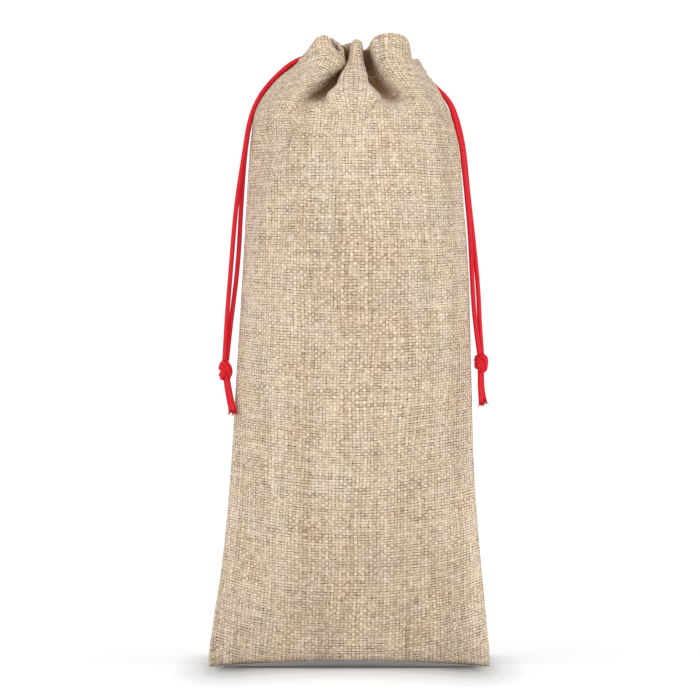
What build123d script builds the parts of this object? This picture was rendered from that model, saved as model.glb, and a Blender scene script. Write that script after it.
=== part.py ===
"""Drawstring wine gift bag: two cloth panels sewn into a pillow-bottomed sleeve, gathered at the
neck by two cords that run in a sewn casing and leave it at the side seams, one to each side.

Millimetres, +Z up, +X to the bag's right as seen from its front, front towards -Y.
The origin is on the floor under the middle of the base.
"""

import os
from math import atan2, cos, pi, radians, sin, tan

from build123d import *

# Cloth
CLOTH = 1.2
SEAM_WIDTH = 6.0
SEAM_HALF_THICK = 0.35
SEAM_TAPER = 1.8
SEAM_CLEAR = 0.25  # between the strip's edge and the cloths' inner faces
FRONT = -1
BACK = 1

# The sleeve's lens-shaped sections: height, left edge, right edge, half depth
BODY = [
    (0.0, -75.7, 75.7, 16.0),
    (24.0, -73.0, 74.2, 19.5),
    (50.0, -69.0, 71.6, 25.0),
    (100.0, -64.0, 67.7, 32.0),
    (150.0, -60.8, 66.1, 35.5),
    (215.0, -56.4, 64.2, 38.0),
    (255.0, -54.0, 61.2, 37.5),
    (287.0, -52.2, 58.4, 34.0),
    (303.0, -47.3, 52.0, 28.5),
    (316.0, -35.0, 42.7, 22.5),
]
# The gathered casing above it, in the same terms
CASING = [
    (316.0, -35.0, 42.7, 22.5),
    (324.0, -24.6, 37.2, 19.5),
    (332.0, -21.4, 33.6, 18.0),
    (337.5, -15.5, 27.0, 14.0),
]
NECK_X = 4.6
NECK_BORE_R = 6.0

# The cord channel inside the casing
CHANNEL_LOW = 320.6
CHANNEL_HIGH = 326.8
CHANNEL_INNER_R = 8.5
CHANNEL_OUTER_R = 14.0
EXIT_R = 3.2
LEFT_EXIT_REACH = 28.0
RIGHT_EXIT_REACH = 32.0
RIGHT_EXIT_TURN = 7.2  # degrees behind the right seam

# The bottom seam's pressed edges stand up inside, between the two side seams' strips
BOTTOM_SEAM_HALF = 64.0

# Stitching that closes the casing's lower edge
STITCH_HEIGHT = 318.0
STITCH_SECTION = (-32.4, 41.3, 21.8)
STITCH_R = 0.3

# Drawcords
CORD = 2.4
CORD_HALF_GAP = 1.4
LEFT_LOOP_Z = 325.2
RIGHT_LOOP_Z = 322.2
BEND_SHARE = 0.45  # of the shorter run, taken up by a bend on each side of a corner
KNOT_GAP = 0.3  # between the hanging strands and the knot that slides under them

# Knots: centre x, centre height, radius, height
LEFT_KNOT = (-66.4, 158.4, 3.95, 10.9)
RIGHT_KNOT = (70.8, 162.1, 4.2, 10.1)
KNOT_FLAT = 0.68  # radius of a knot's flat ends, as a share of its widest radius

LEFT_KNOT_TOP = LEFT_KNOT[1] + LEFT_KNOT[3] / 2
LEFT_KNOT_FOOT = LEFT_KNOT[1] - LEFT_KNOT[3] / 2
RIGHT_KNOT_TOP = RIGHT_KNOT[1] + RIGHT_KNOT[3] / 2
RIGHT_KNOT_FOOT = RIGHT_KNOT[1] - RIGHT_KNOT[3] / 2

# A loop's route in the channel, seen from above with its exit along +X
LOOP_BEND = [(20.0, 1.4), (6.0, 11.5), (-8.0, 10.5), (-12.5, 0.0), (-8.0, -10.5), (6.0, -11.5),
             (20.0, -1.4)]

# Routes of the hanging strands, from the casing's exit down to the knot
LEFT_OUTER = [
    (-23.4, -1.4, 325.2), (-29.5, -1.5, 324.6), (-38.5, -1.6, 316.2), (-47.4, -1.6, 306.6),
    (-53.2, -1.6, 293.5), (-56.2, -1.5, 274.0), (-60.6, -1.3, 246.0), (-63.2, -1.3, 213.0),
    (-65.6, -1.3, 184.0), (-66.6, -1.3, LEFT_KNOT_TOP + KNOT_GAP),
]
LEFT_INNER = [
    (-23.4, 1.4, 325.2), (-29.5, 1.5, 324.4), (-38.3, 1.6, 315.8), (-47.0, 1.6, 306.2),
    (-53.0, 1.6, 293.0), (-56.0, 1.6, 273.0), (-57.8, 1.6, 246.0), (-59.4, 1.5, 214.0),
    (-63.2, 1.3, 185.5), (-65.4, 1.3, LEFT_KNOT_TOP + KNOT_GAP),
]
RIGHT_INNER = [
    (36.5, 2.6, 322.2), (40.6, 4.7, 319.0), (45.6, 5.4, 311.8), (52.6, 5.2, 303.2),
    (57.8, 4.6, 291.6), (61.2, 3.8, 276.4), (62.9, 2.8, 256.0), (64.9, 1.8, 231.0),
    (66.0, 0.2, 203.0), (67.4, -0.8, 183.0), (69.7, -1.3, RIGHT_KNOT_TOP + KNOT_GAP),
]
RIGHT_OUTER = [
    (36.2, 5.4, 322.2), (40.6, 7.5, 318.9), (45.8, 8.2, 311.4), (52.8, 8.0, 302.8),
    (58.0, 7.4, 291.2), (61.6, 6.6, 276.0), (63.6, 5.6, 255.6), (66.4, 4.2, 231.0),
    (69.2, 2.6, 203.0), (69.9, 1.9, 183.0), (71.1, 1.3, RIGHT_KNOT_TOP + KNOT_GAP),
]
# Routes of the short tails below the knots
LEFT_FRONT_TAIL = [
    (-64.7, -1.3, LEFT_KNOT_FOOT), (-63.7, -2.8, 147.4), (-62.5, -4.2, 141.8), (-61.3, -4.8, 137.2),
]
LEFT_REAR_TAIL = [
    (-66.0, 1.3, LEFT_KNOT_FOOT), (-65.1, 0.1, 147.4), (-64.1, -1.3, 141.8), (-63.1, -2.0, 137.6),
]
RIGHT_FRONT_TAIL = [
    (69.9, -1.4, RIGHT_KNOT_FOOT), (69.8, -1.8, 151.6), (70.1, -2.1, 146.6), (70.3, -2.2, 141.6),
]
RIGHT_REAR_TAIL = [
    (71.2, 1.2, RIGHT_KNOT_FOOT), (71.5, 0.9, 151.8), (72.3, 0.4, 147.0), (73.1, 0.1, 142.8),
]


def half_section(height, left, right, depth, side):
    """Half of a lens-shaped section, in front of or behind the side seams."""
    with BuildSketch(Plane.XY.offset(height)) as half:
        with BuildLine():
            ThreePointArc((left, 0), ((left + right) / 2, side * depth), (right, 0))
            Line((right, 0), (left, 0))
        make_face()
    return half.sketch


def seam_inset(left, right, depth):
    """How far in from the seam's edge the two cloths, lying on each other, part."""
    edge_angle = 2 * atan2(depth, (right - left) / 2)
    return CLOTH / sin(edge_angle)


def inner_sections():
    """The body's sections less the cloth, from the top of the base to the neck."""
    sections = []
    for height, left, right, depth in BODY:
        inset = seam_inset(left, right, depth)
        floor = max(height, CLOTH)
        sections.append((floor, left + inset, right - inset, depth - CLOTH))
    return sections


def panel(side):
    """One cloth of the sleeve: a lens-shaped shell with half of the base, open at the seams."""
    outside = [half_section(*section, side) for section in BODY]
    inside = [half_section(*section, side) for section in inner_sections()]
    with BuildPart() as cloth:
        loft(outside)
        loft(inside, mode=Mode.SUBTRACT)
    return cloth


def casing(side):
    """One cloth's gathered casing, with the neck's hole and the cord channel through it."""
    turn = radians(RIGHT_EXIT_TURN)
    right_exit = (NECK_X + RIGHT_EXIT_REACH * cos(turn), RIGHT_EXIT_REACH * sin(turn))
    outside = [half_section(*section, side) for section in CASING]
    with BuildPart() as gathered:
        loft(outside)
        with BuildSketch(Plane.XY.offset(CASING[0][0])):
            with Locations((NECK_X, 0)):
                Circle(NECK_BORE_R)
        extrude(amount=CASING[-1][0] - CASING[0][0], mode=Mode.SUBTRACT)
        with BuildSketch(Plane.XY.offset(CHANNEL_LOW)):
            with Locations((NECK_X, 0)):
                Circle(CHANNEL_OUTER_R)
            with Locations((NECK_X - LEFT_EXIT_REACH, 0), right_exit):
                Circle(EXIT_R)
            make_hull()
            with Locations((NECK_X, 0)):
                Circle(CHANNEL_INNER_R, mode=Mode.SUBTRACT)
        extrude(amount=CHANNEL_HIGH - CHANNEL_LOW, mode=Mode.SUBTRACT)
    return gathered


def seam_allowance(side_sign):
    """The pressed edges of both cloths inside a side seam: a thin tapered strip."""
    with BuildPart() as strip:
        for height, left, right, _ in inner_sections():
            edge = (left if side_sign < 0 else right) - side_sign * SEAM_CLEAR
            with BuildSketch(Plane.XY.offset(height)):
                with BuildLine():
                    Polyline(
                        (edge, 0),
                        (edge - side_sign * SEAM_TAPER, -SEAM_HALF_THICK),
                        (edge - side_sign * SEAM_WIDTH, -SEAM_HALF_THICK),
                        (edge - side_sign * SEAM_WIDTH, SEAM_HALF_THICK),
                        (edge - side_sign * SEAM_TAPER, SEAM_HALF_THICK),
                        close=True,
                    )
                make_face()
        loft()
    return strip


def stitching(side):
    """A row of thread on one cloth, under the cord channel."""
    left, right, depth = STITCH_SECTION
    with BuildPart() as thread:
        with BuildLine(Plane.XY.offset(STITCH_HEIGHT)) as row:
            ThreePointArc(
                (left, side * STITCH_R),
                ((left + right) / 2, side * (depth + STITCH_R)),
                (right, side * STITCH_R),
            )
        start = row.line ^ 0
        with BuildSketch(Plane(start)):
            Circle(STITCH_R)
        sweep()
    return thread


def bend_radii(route):
    """The largest bend that each corner of a route leaves room for."""
    points = [Vector(p) for p in route]
    radii = []
    for before, corner, after in zip(points, points[1:], points[2:]):
        turn = radians((corner - before).get_angle(after - corner))
        shorter = min((corner - before).length, (after - corner).length)
        radii.append(BEND_SHARE * shorter / tan(turn / 2))
    return radii


def cord_tube(name, route):
    """A length of drawcord along straight runs joined by tangent arcs."""
    radii = bend_radii(route)
    with BuildPart() as tube:
        with BuildLine() as path:
            FilletPolyline(*route, radius=radii)
        with BuildSketch(Plane(path.line ^ 0)):
            Circle(CORD / 2)
        sweep()
    length = path.wires()[0].length
    filled = tube.part.volume / (pi * CORD**2 / 4 * length)
    print(f"{name}: {length:.1f} mm, volume share {filled:.3f}, radii", [round(r, 1) for r in radii])
    return tube


def casing_loop(name, height, exit_turn, reach):
    """A cord's loop round the neck, both ends at the same exit."""
    seen = Plane(
        origin=(NECK_X, 0, height),
        x_dir=(cos(radians(exit_turn)), sin(radians(exit_turn)), 0),
        z_dir=(0, 0, 1),
    )
    flat = [(reach, CORD_HALF_GAP), *LOOP_BEND, (reach, -CORD_HALF_GAP)]
    route = [tuple(seen.from_local_coords((x, y, 0))) for x, y in flat]
    return cord_tube(name, route)


def knot(centre_x, centre_z, radius, height):
    """An overhand knot's outer shape: a barrel with flat ends where the cord goes in and out."""
    flat = KNOT_FLAT * radius
    with BuildPart() as lump:
        with BuildSketch(Plane.XZ):
            with BuildLine():
                Line((centre_x, centre_z - height / 2), (centre_x + flat, centre_z - height / 2))
                ThreePointArc(
                    (centre_x + flat, centre_z - height / 2),
                    (centre_x + radius, centre_z),
                    (centre_x + flat, centre_z + height / 2),
                )
                Line((centre_x + flat, centre_z + height / 2), (centre_x, centre_z + height / 2))
                Line((centre_x, centre_z + height / 2), (centre_x, centre_z - height / 2))
            make_face()
        revolve(axis=Axis((centre_x, 0, 0), (0, 0, 1)))
    return lump


def save(name, built):
    """Label a finished piece and write it under its node's name."""
    built.part.label = name
    export_step(built.part, f"parts/{name}.step")


os.makedirs("parts", exist_ok=True)

save("front_panel", panel(FRONT))
save("back_panel", panel(BACK))
save("front_casing", casing(FRONT))
save("back_casing", casing(BACK))
save("front_casing_stitching", stitching(FRONT))
save("back_casing_stitching", stitching(BACK))
save("left_seam_allowance", seam_allowance(-1))
save("right_seam_allowance", seam_allowance(1))
with BuildPart() as bottom_seam_allowance:
    with BuildSketch(Plane.XY.offset(CLOTH)):
        Rectangle(2 * BOTTOM_SEAM_HALF, 2 * SEAM_HALF_THICK)
    extrude(amount=SEAM_WIDTH)
save("bottom_seam_allowance", bottom_seam_allowance)

save("left_casing_cord", casing_loop("left_casing_cord", LEFT_LOOP_Z, 180, LEFT_EXIT_REACH))
save(
    "right_casing_cord",
    casing_loop("right_casing_cord", RIGHT_LOOP_Z, RIGHT_EXIT_TURN, RIGHT_EXIT_REACH),
)
for cord_name, cord_route in {
    "left_outer_strand": LEFT_OUTER,
    "left_inner_strand": LEFT_INNER,
    "right_inner_strand": RIGHT_INNER,
    "right_outer_strand": RIGHT_OUTER,
    "left_front_tail": LEFT_FRONT_TAIL,
    "left_rear_tail": LEFT_REAR_TAIL,
    "right_front_tail": RIGHT_FRONT_TAIL,
    "right_rear_tail": RIGHT_REAR_TAIL,
}.items():
    save(cord_name, cord_tube(cord_name, cord_route))

save("left_knot", knot(*LEFT_KNOT))
save("right_knot", knot(*RIGHT_KNOT))
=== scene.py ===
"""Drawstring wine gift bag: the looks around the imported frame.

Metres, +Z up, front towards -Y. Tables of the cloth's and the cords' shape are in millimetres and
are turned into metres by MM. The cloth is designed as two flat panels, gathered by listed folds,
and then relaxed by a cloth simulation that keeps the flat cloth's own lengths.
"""

import math
import random

import bpy
import numpy as np
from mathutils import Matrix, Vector


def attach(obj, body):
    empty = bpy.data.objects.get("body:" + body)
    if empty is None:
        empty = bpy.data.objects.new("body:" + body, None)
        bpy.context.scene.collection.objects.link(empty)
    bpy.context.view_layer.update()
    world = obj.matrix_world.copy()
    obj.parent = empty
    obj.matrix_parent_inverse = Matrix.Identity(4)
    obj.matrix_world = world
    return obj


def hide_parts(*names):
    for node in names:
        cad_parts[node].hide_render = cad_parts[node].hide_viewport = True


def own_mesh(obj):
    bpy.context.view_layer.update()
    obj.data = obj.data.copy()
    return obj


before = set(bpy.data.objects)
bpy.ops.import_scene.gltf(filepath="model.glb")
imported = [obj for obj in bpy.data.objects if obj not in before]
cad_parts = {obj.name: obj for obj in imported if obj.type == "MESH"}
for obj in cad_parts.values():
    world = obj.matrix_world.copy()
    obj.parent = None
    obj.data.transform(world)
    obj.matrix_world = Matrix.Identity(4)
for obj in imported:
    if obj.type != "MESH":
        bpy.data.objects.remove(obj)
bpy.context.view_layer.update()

MM = 0.001
random.seed(7)

# ---------------------------------------------------------------- the bag's cloth, in millimetres
PANEL_WIDTH = 152.0
PANEL_HEIGHT = 354.0  # from the bottom seam to the fold at the top of the casing
HEM_DEPTH = 17.0  # how far the fold reaches down inside
HEM_INSET = 2.6
HEM_STEPS = 9
ROLL_STEPS = 5
CLOTH_THICK = 0.9
WARP_PITCH = 1.93  # between the upright yarns
WEFT_PITCH = 1.47  # between the crosswise yarns

PANEL_COLUMNS = 80
ROWS = 156

# Sections of the filled body: height, left edge, right edge, half depth
BODY = [
    (24.0, -73.2, 74.2, 19.5),
    (50.0, -69.2, 71.6, 25.0),
    (100.0, -64.2, 67.7, 32.0),
    (150.0, -61.2, 66.1, 35.5),
    (215.0, -57.2, 64.2, 38.0),
    (255.0, -55.0, 61.2, 38.5),
    (282.0, -53.0, 58.8, 36.5),
]
BASE_HALF_WIDTH = 75.7
BASE_HALF_DEPTH = 16.0
BASE_LIFT = 4.8  # how far the middle of the front and back edges hangs clear of the floor

# Each fold of the gathered neck, from the left seam to the right one: the plan of the cloth on the
# shoulder, at the folds' lower ends, half way up and at the cord, then the place of its top edge
SHOULDER_Z = 298.6
POCKET_Z = 302.6
FOLD_Z = 313.0
CORD_Z = 324.0
CORD_BELOW_TOP = 4.0  # the least, where the top edge dips
LEVEL_Z = 290.0  # the crosswise yarns lie level up to here
SLACK = 12.0  # less than the flat cloth's height, taken up by the base and the bulge
FRONT_FOLDS = [
    ((-50.0, 0.0), (-48.0, 0.0), (-40.4, 0.0), (-27.6, 0.0), (-24.6, 0.0, 327.6)),
    ((-48.4, -7.6), (-46.2, -7.4), (-37.4, -9.8), (-25.0, -8.5), (-23.4, -8.0, 328.6)),
    ((-44.6, -14.8), (-42.6, -14.0), (-32.6, -18.2), (-21.5, -16.5), (-20.2, -15.5, 332.8)),
    ((-39.6, -21.8), (-37.6, -21.0), (-26.6, -24.0), (-16.2, -21.6), (-16.6, -19.8, 336.3)),
    ((-34.4, -26.2), (-32.0, -26.4), (-20.4, -26.4), (-9.8, -23.0), (-11.0, -20.6, 336.2)),
    ((-29.2, -29.0), (-26.6, -28.8), (-14.8, -24.6), (-4.0, -20.4), (-7.4, -19.8, 330.2)),
    ((-25.6, -30.4), (-23.2, -25.4), (-11.6, -20.4), (-1.4, -16.8), (-3.8, -17.4, 327.2)),
    ((-21.6, -31.4), (-20.2, -21.8), (-9.6, -15.6), (-3.2, -10.8), (-2.6, -14.0, 330.8)),
    ((-17.6, -32.0), (-16.4, -20.8), (-7.4, -11.4), (-4.4, -5.0), (-8.6, -12.8, 336.2)),
    ((-13.9, -32.5), (-13.0, -24.4), (-4.4, -13.4), (-1.0, -2.0), (-1.6, -5.0, 331.2)),
    ((-9.0, -33.2), (-11.8, -30.6), (-4.0, -19.6), (0.2, -8.5), (0.8, -8.0, 331.0)),
    ((-2.6, -33.9), (-4.0, -33.2), (-5.0, -26.2), (-0.4, -16.6), (1.0, -15.5, 333.8)),
    ((2.8, -34.1), (2.8, -33.8), (2.8, -29.0), (3.6, -21.8), (4.0, -19.0, 334.8)),
    ((8.2, -33.8), (9.4, -33.2), (9.8, -26.2), (7.6, -16.6), (7.1, -15.5, 333.8)),
    ((14.6, -33.1), (16.4, -30.4), (8.8, -19.6), (7.6, -8.5), (7.2, -8.0, 330.5)),
    ((19.4, -32.3), (17.8, -24.0), (9.8, -13.2), (8.8, -2.4), (9.2, -3.0, 330.0)),
    ((23.6, -31.6), (21.2, -20.4), (13.2, -12.0), (11.2, -7.4), (10.8, -8.0, 331.0)),
    ((28.6, -30.6), (26.6, -23.4), (17.0, -17.2), (12.4, -15.4), (10.6, -15.0, 332.6)),
    ((33.8, -28.8), (31.4, -26.8), (21.2, -22.8), (14.4, -21.2), (13.2, -19.6, 336.2)),
    ((39.2, -25.8), (37.0, -26.6), (27.4, -25.6), (20.0, -24.0), (20.2, -22.0, 337.8)),
    ((44.2, -21.4), (42.2, -22.8), (33.8, -24.0), (27.2, -21.8), (27.0, -20.0, 337.4)),
    ((47.8, -16.4), (45.8, -17.8), (38.8, -19.2), (32.4, -17.6), (31.8, -16.6, 334.6)),
    ((50.4, -11.6), (48.4, -12.8), (42.2, -13.6), (33.2, -12.4), (33.2, -13.0, 329.0)),
    ((52.2, -6.0), (50.2, -6.8), (44.4, -7.0), (35.6, -6.8), (33.6, -7.4, 325.6)),
    ((53.2, 0.0), (51.4, 0.0), (45.4, 0.0), (39.9, -1.0), (38.4, -1.0, 324.5)),
]
# The same for the back cloth, again from the left seam to the right one
BACK_FOLDS = [
    ((-50.0, 0.0), (-48.0, 0.0), (-40.4, 0.0), (-27.6, 0.0), (-24.6, 0.0, 327.6)),
    ((-46.4, 9.3), (-44.5, 9.5), (-36.0, 10.0), (-23.5, 8.5), (-22.5, 8.0, 329.0)),
    ((-36.8, 20.2), (-35.2, 20.0), (-27.0, 19.0), (-17.5, 15.0), (-16.5, 14.0, 332.0)),
    ((-29.5, 26.2), (-27.9, 24.5), (-20.0, 21.0), (-11.5, 18.0), (-11.0, 16.5, 333.5)),
    ((-24.4, 27.1), (-22.8, 21.5), (-14.5, 14.0), (-7.2, 12.0), (-7.4, 12.0, 331.5)),
    ((-20.5, 27.5), (-19.1, 19.5), (-10.5, 8.5), (-4.0, 4.0), (-4.0, 5.0, 329.5)),
    ((-16.6, 29.1), (-15.5, 22.5), (-8.5, 14.5), (-4.4, 12.0), (-4.4, 12.0, 332.0)),
    ((-10.8, 31.9), (-10.3, 28.5), (-6.0, 24.0), (-3.4, 20.0), (-3.2, 18.5, 334.5)),
    ((-4.4, 32.9), (-3.6, 30.5), (0.5, 27.0), (1.2, 21.5), (1.2, 20.0, 335.2)),
    ((2.3, 31.8), (3.6, 28.0), (6.0, 22.5), (5.4, 17.0), (5.4, 16.5, 334.0)),
    ((6.4, 29.7), (6.7, 22.0), (6.8, 12.5), (5.0, 8.5), (5.0, 9.0, 332.0)),
    ((9.8, 28.5), (9.7, 19.5), (8.4, 8.5), (6.4, 4.0), (6.4, 5.0, 330.0)),
    ((13.1, 29.2), (12.8, 22.0), (10.8, 13.0), (8.6, 9.0), (8.6, 9.4, 331.5)),
    ((17.6, 31.1), (16.4, 28.0), (13.0, 22.5), (10.6, 17.0), (10.8, 16.5, 334.0)),
    ((23.7, 30.7), (22.5, 29.0), (18.5, 25.5), (15.4, 20.6), (15.4, 19.5, 335.0)),
    ((29.9, 28.2), (28.7, 25.5), (24.5, 21.5), (20.6, 18.5), (20.4, 17.5, 333.5)),
    ((33.5, 25.5), (31.7, 21.0), (25.5, 14.5), (21.6, 12.0), (21.6, 12.0, 331.0)),
    ((37.4, 23.1), (35.3, 19.0), (27.5, 11.0), (21.0, 5.6), (21.0, 6.6, 328.5)),
    ((41.9, 19.4), (40.4, 17.5), (33.5, 12.5), (25.5, 8.2), (25.2, 8.8, 330.0)),
    ((47.0, 14.3), (45.6, 14.5), (39.5, 14.0), (31.5, 11.8), (30.6, 11.4, 329.5)),
    ((50.9, 7.3), (49.2, 7.5), (43.0, 8.0), (35.6, 7.0), (34.4, 6.4, 326.0)),
    ((53.3, 0.0), (51.4, 0.0), (45.4, 0.0), (39.9, -1.0), (38.4, -1.0, 324.5)),
]

# ---------------------------------------------------------------- cloth simulation
SIM_SCALE = 10.0  # the simulation runs at ten times size, where its contact distances are small
SIM_FRAMES = 22
EASED = 0.10  # how much the weave closes up across, where the filled bag rounds to its neck
EASED_FROM, EASED_TO = 140.0, 300.0
BASE_HELD = (5.0, 16.0)  # between these heights the base's hold on the cloth fades
NECK_HELD = (290.0, 304.0)  # and between these the folds' hold grows
FIXED_Z = 319.0  # above this the cloth stays as designed
BASE_HOLD, SEAM_HOLD, NECK_HOLD = 0.9, 0.85, 0.95

# ---------------------------------------------------------------- the drawcords, in millimetres
CORD_LOOK = 2.7  # across the braid where it hangs loose and full
LEFT_EXIT_Z = 326.0
RIGHT_EXIT_Z = 322.2
LEFT_KNOT_TOP = 163.85
RIGHT_KNOT_TOP = 167.15
KNOT_GAP = 0.05
LEFT_KNOT_FOOT = 152.95
RIGHT_KNOT_FOOT = 157.05
STRANDS = {
    "left_outer_strand": [
        (-23.2, -1.4, 326.0), (-29.2, -1.5, 324.4), (-39.2, -1.6, 315.8), (-47.5, -1.6, 306.2),
        (-53.2, -1.6, 293.5), (-56.2, -1.5, 274.0), (-60.6, -1.2, 246.0), (-63.2, -1.1, 213.0),
        (-65.6, -1.1, 184.0), (-66.6, -1.0, LEFT_KNOT_TOP + KNOT_GAP),
    ],
    "left_inner_strand": [
        (-23.2, 1.4, 326.0), (-29.1, 1.5, 324.1), (-38.8, 1.6, 315.4), (-47.0, 1.6, 305.8),
        (-53.0, 1.6, 293.0), (-56.0, 1.6, 273.0), (-57.8, 1.6, 246.0), (-59.4, 1.5, 214.0),
        (-63.2, 1.2, 185.5), (-65.4, 1.0, LEFT_KNOT_TOP + KNOT_GAP),
    ],
    "right_inner_strand": [
        (36.0, 4.0, 322.0), (38.9, 5.3, 318.4), (44.3, 5.6, 312.2), (53.4, 5.2, 303.6),
        (57.0, 4.6, 291.6), (60.5, 3.8, 276.4), (62.6, 2.8, 256.0), (64.9, 1.8, 231.0),
        (66.0, 0.2, 203.0), (67.4, -0.6, 183.0), (69.7, -1.0, RIGHT_KNOT_TOP + KNOT_GAP),
    ],
    "right_outer_strand": [
        (35.8, 6.6, 322.0), (38.9, 8.0, 318.2), (44.9, 8.4, 312.0), (54.4, 8.0, 303.2),
        (58.8, 7.4, 291.2), (61.9, 6.6, 276.0), (63.6, 5.6, 255.6), (66.4, 4.2, 231.0),
        (69.2, 2.6, 203.0), (69.9, 1.8, 183.0), (71.1, 1.2, RIGHT_KNOT_TOP + KNOT_GAP),
    ],
}
TAILS = {
    "left_front_tail": [
        (-64.7, -1.1, LEFT_KNOT_FOOT), (-63.7, -2.6, 147.4), (-62.5, -4.0, 141.8),
        (-61.3, -4.6, 137.2),
    ],
    "left_rear_tail": [
        (-66.0, 1.0, LEFT_KNOT_FOOT), (-65.1, -0.4, 147.4), (-64.1, -1.8, 141.8),
        (-63.1, -2.5, 137.6),
    ],
    "right_front_tail": [
        (70.0, -1.2, RIGHT_KNOT_FOOT), (69.9, -1.7, 151.6), (70.2, -2.0, 146.6),
        (70.5, -2.1, 141.6),
    ],
    "right_rear_tail": [
        (71.0, 1.0, RIGHT_KNOT_FOOT), (71.1, 0.5, 151.8), (71.5, -0.1, 147.0), (72.4, -0.3, 142.8),
    ],
}


# ---------------------------------------------------------------- curves and meshes
def smoothstep(low, high, value):
    t = np.clip((value - low) / (high - low), 0.0, 1.0)
    return t * t * (3.0 - 2.0 * t)


def through(points, at, where):
    """A smooth curve through points placed at the values `at`, read at the values `where`."""
    points = np.asarray(points, float)
    at = np.asarray(at, float)
    column = (-1,) + (1,) * (points.ndim - 1)
    gaps = np.diff(at)
    slopes = np.diff(points, axis=0) / gaps.reshape(column)
    before = gaps[:-1].reshape(column)
    after = gaps[1:].reshape(column)
    tangents = np.empty_like(points)
    tangents[0], tangents[-1] = slopes[0], slopes[-1]
    tangents[1:-1] = (slopes[:-1] * after + slopes[1:] * before) / (before + after)
    i = np.clip(np.searchsorted(at, where, side="right") - 1, 0, len(gaps) - 1)
    h = gaps[i].reshape(column)
    t = ((where - at[i]) / gaps[i]).reshape(column)
    return (
        points[i] * (2 * t**3 - 3 * t**2 + 1)
        + tangents[i] * h * (t**3 - 2 * t**2 + t)
        + points[i + 1] * (3 * t**2 - 2 * t**3)
        + tangents[i + 1] * h * (t**3 - t**2)
    )


def add_mesh(name, points, faces, material=None, uvs=None):
    """A smooth-shaded mesh object; uvs holds one pair for each vertex."""
    mesh = bpy.data.meshes.new(name)
    mesh.from_pydata(np.asarray(points, float).tolist(), [], faces)
    mesh.polygons.foreach_set("use_smooth", [True] * len(mesh.polygons))
    if uvs is not None:
        layer = mesh.uv_layers.new(name="cloth")
        corners = np.empty(len(mesh.loops), int)
        mesh.loops.foreach_get("vertex_index", corners)
        layer.data.foreach_set("uv", np.asarray(uvs)[corners].reshape(-1))
    if material is not None:
        mesh.materials.append(material)
    obj = bpy.data.objects.new(name, mesh)
    bpy.context.scene.collection.objects.link(obj)
    return obj


def add_piece(name, shape, material, body, node):
    """A mesh object on one body, in one material slot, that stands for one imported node."""
    points, faces, uvs = shape
    obj = add_mesh(name, points, faces, material, uvs)
    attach(obj, body)
    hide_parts(node)
    return obj


def grid_faces(rows, columns, closed=False):
    """Quads over rows x columns vertices; closed joins the last column to the first."""
    last = columns if closed else columns - 1
    return [
        (
            r * columns + c,
            r * columns + (c + 1) % columns,
            (r + 1) * columns + (c + 1) % columns,
            (r + 1) * columns + c,
        )
        for r in range(rows - 1)
        for c in range(last)
    ]


def spline_line(route):
    """Points of the smooth curve that a cord's route points control, in metres."""
    curve = bpy.data.curves.new("line", "CURVE")
    curve.dimensions = "3D"
    curve.resolution_u = 12
    spline = curve.splines.new("NURBS")
    spline.points.add(len(route) - 1)
    for point, place in zip(spline.points, route):
        point.co = (place[0] * MM, place[1] * MM, place[2] * MM, 1.0)
    spline.order_u = 3
    spline.use_endpoint_u = True
    holder = bpy.data.objects.new("line", curve)
    mesh = bpy.data.meshes.new_from_object(holder)
    line = np.array([tuple(v.co) for v in mesh.vertices])
    bpy.data.objects.remove(holder)
    bpy.data.meshes.remove(mesh)
    bpy.data.curves.remove(curve)
    return line


def evenly(line, step):
    """The same line with points about one step apart, and their distances along it."""
    along = np.concatenate([[0], np.cumsum(np.linalg.norm(np.diff(line, axis=0), axis=1))])
    where = np.linspace(0, along[-1], max(4, int(round(along[-1] / step)) + 1))
    return np.stack([np.interp(where, along, line[:, k]) for k in range(3)], axis=1), where


def carried_frames(line):
    """Two directions across the line at each point, turned as little as possible along it."""
    tangents = np.gradient(line, axis=0)
    tangents /= np.linalg.norm(tangents, axis=1)[:, None]
    start = np.array([0.0, 1.0, 0.0])
    if abs(tangents[0] @ start) > 0.8:
        start = np.array([1.0, 0.0, 0.0])
    across = np.empty_like(line)
    side = start
    for i, tangent in enumerate(tangents):
        side = side - (side @ tangent) * tangent
        side = side / np.linalg.norm(side)
        across[i] = side
    return across, np.cross(tangents, across)


def ring_round(across, over, turn):
    """Circles of directions round a line, from the two directions across it at each point."""
    return (
        np.cos(turn)[None, :, None] * across[:, None, :]
        + np.sin(turn)[None, :, None] * over[:, None, :]
    )


BRAID_AROUND = 24
BRAID_PLAITS = 6
BRAID_PITCH = 2.3 * MM
BRAID_DEPTH = 0.045


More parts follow.
